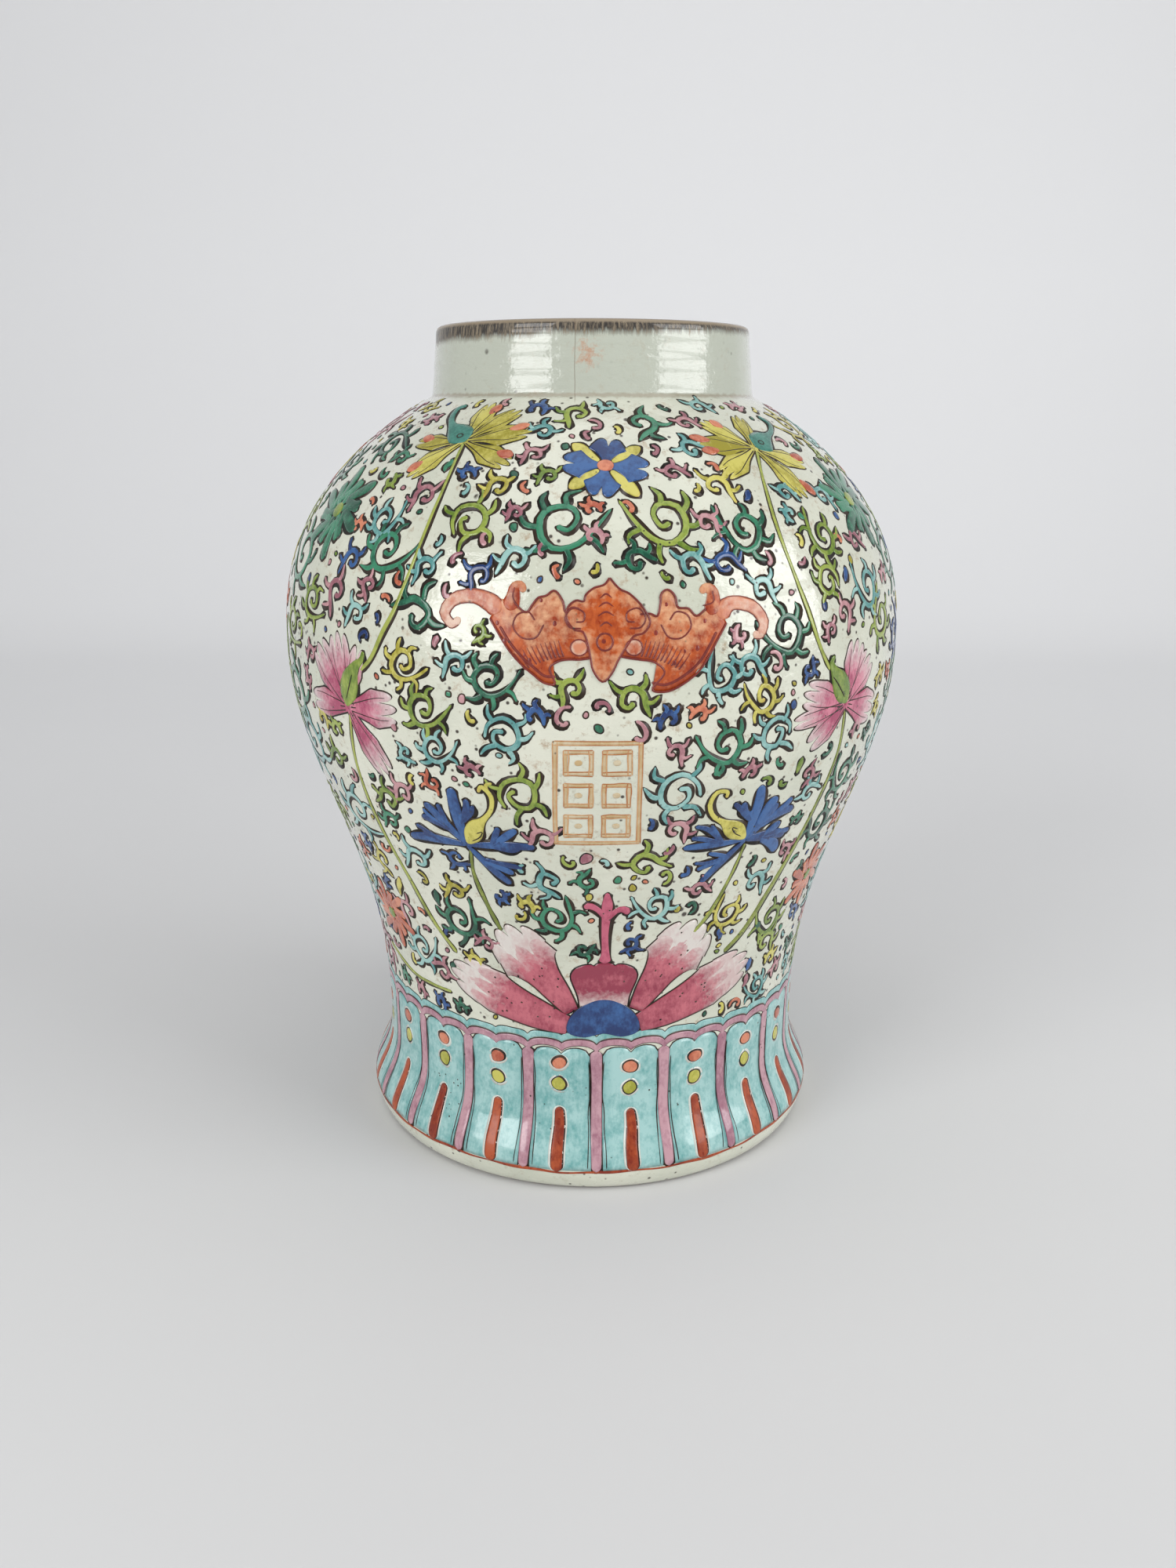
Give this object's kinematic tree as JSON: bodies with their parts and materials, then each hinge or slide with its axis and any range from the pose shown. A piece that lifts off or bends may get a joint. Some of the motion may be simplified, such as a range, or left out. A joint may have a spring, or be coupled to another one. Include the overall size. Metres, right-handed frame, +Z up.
{
  "type": "baluster jar",
  "caption": "Baluster-shaped porcelain jar with a domed shoulder, a short upright neck, a narrow waist and a flared foot, open at the top.",
  "frame": {"origin": "centre of the foot, on the surface the jar stands on", "axes": "+Z up along the jar's turning axis, -Y towards the decorated front"},
  "size_m": [0.2692, 0.2692, 0.35],
  "materials": {
    "glazed_porcelain": "gloss",
    "bare_porcelain": "matte",
    "iron_wash": "satin",
    "outline_enamel": "satin",
    "turquoise_enamel": "gloss",
    "dark_green_enamel": "gloss",
    "lime_enamel": "gloss",
    "yellow_enamel": "gloss",
    "pink_enamel": "gloss",
    "magenta_enamel": "gloss",
    "blue_enamel": "gloss",
    "coral_enamel": "satin"
  },
  "bodies": {
    "root": {"foot_section": "glazed_porcelain", "base_disc": "bare_porcelain", "belly_section": "glazed_porcelain", "shoulder_section": "glazed_porcelain", "neck_collar": "glazed_porcelain"}
  },
  "joints": []
}
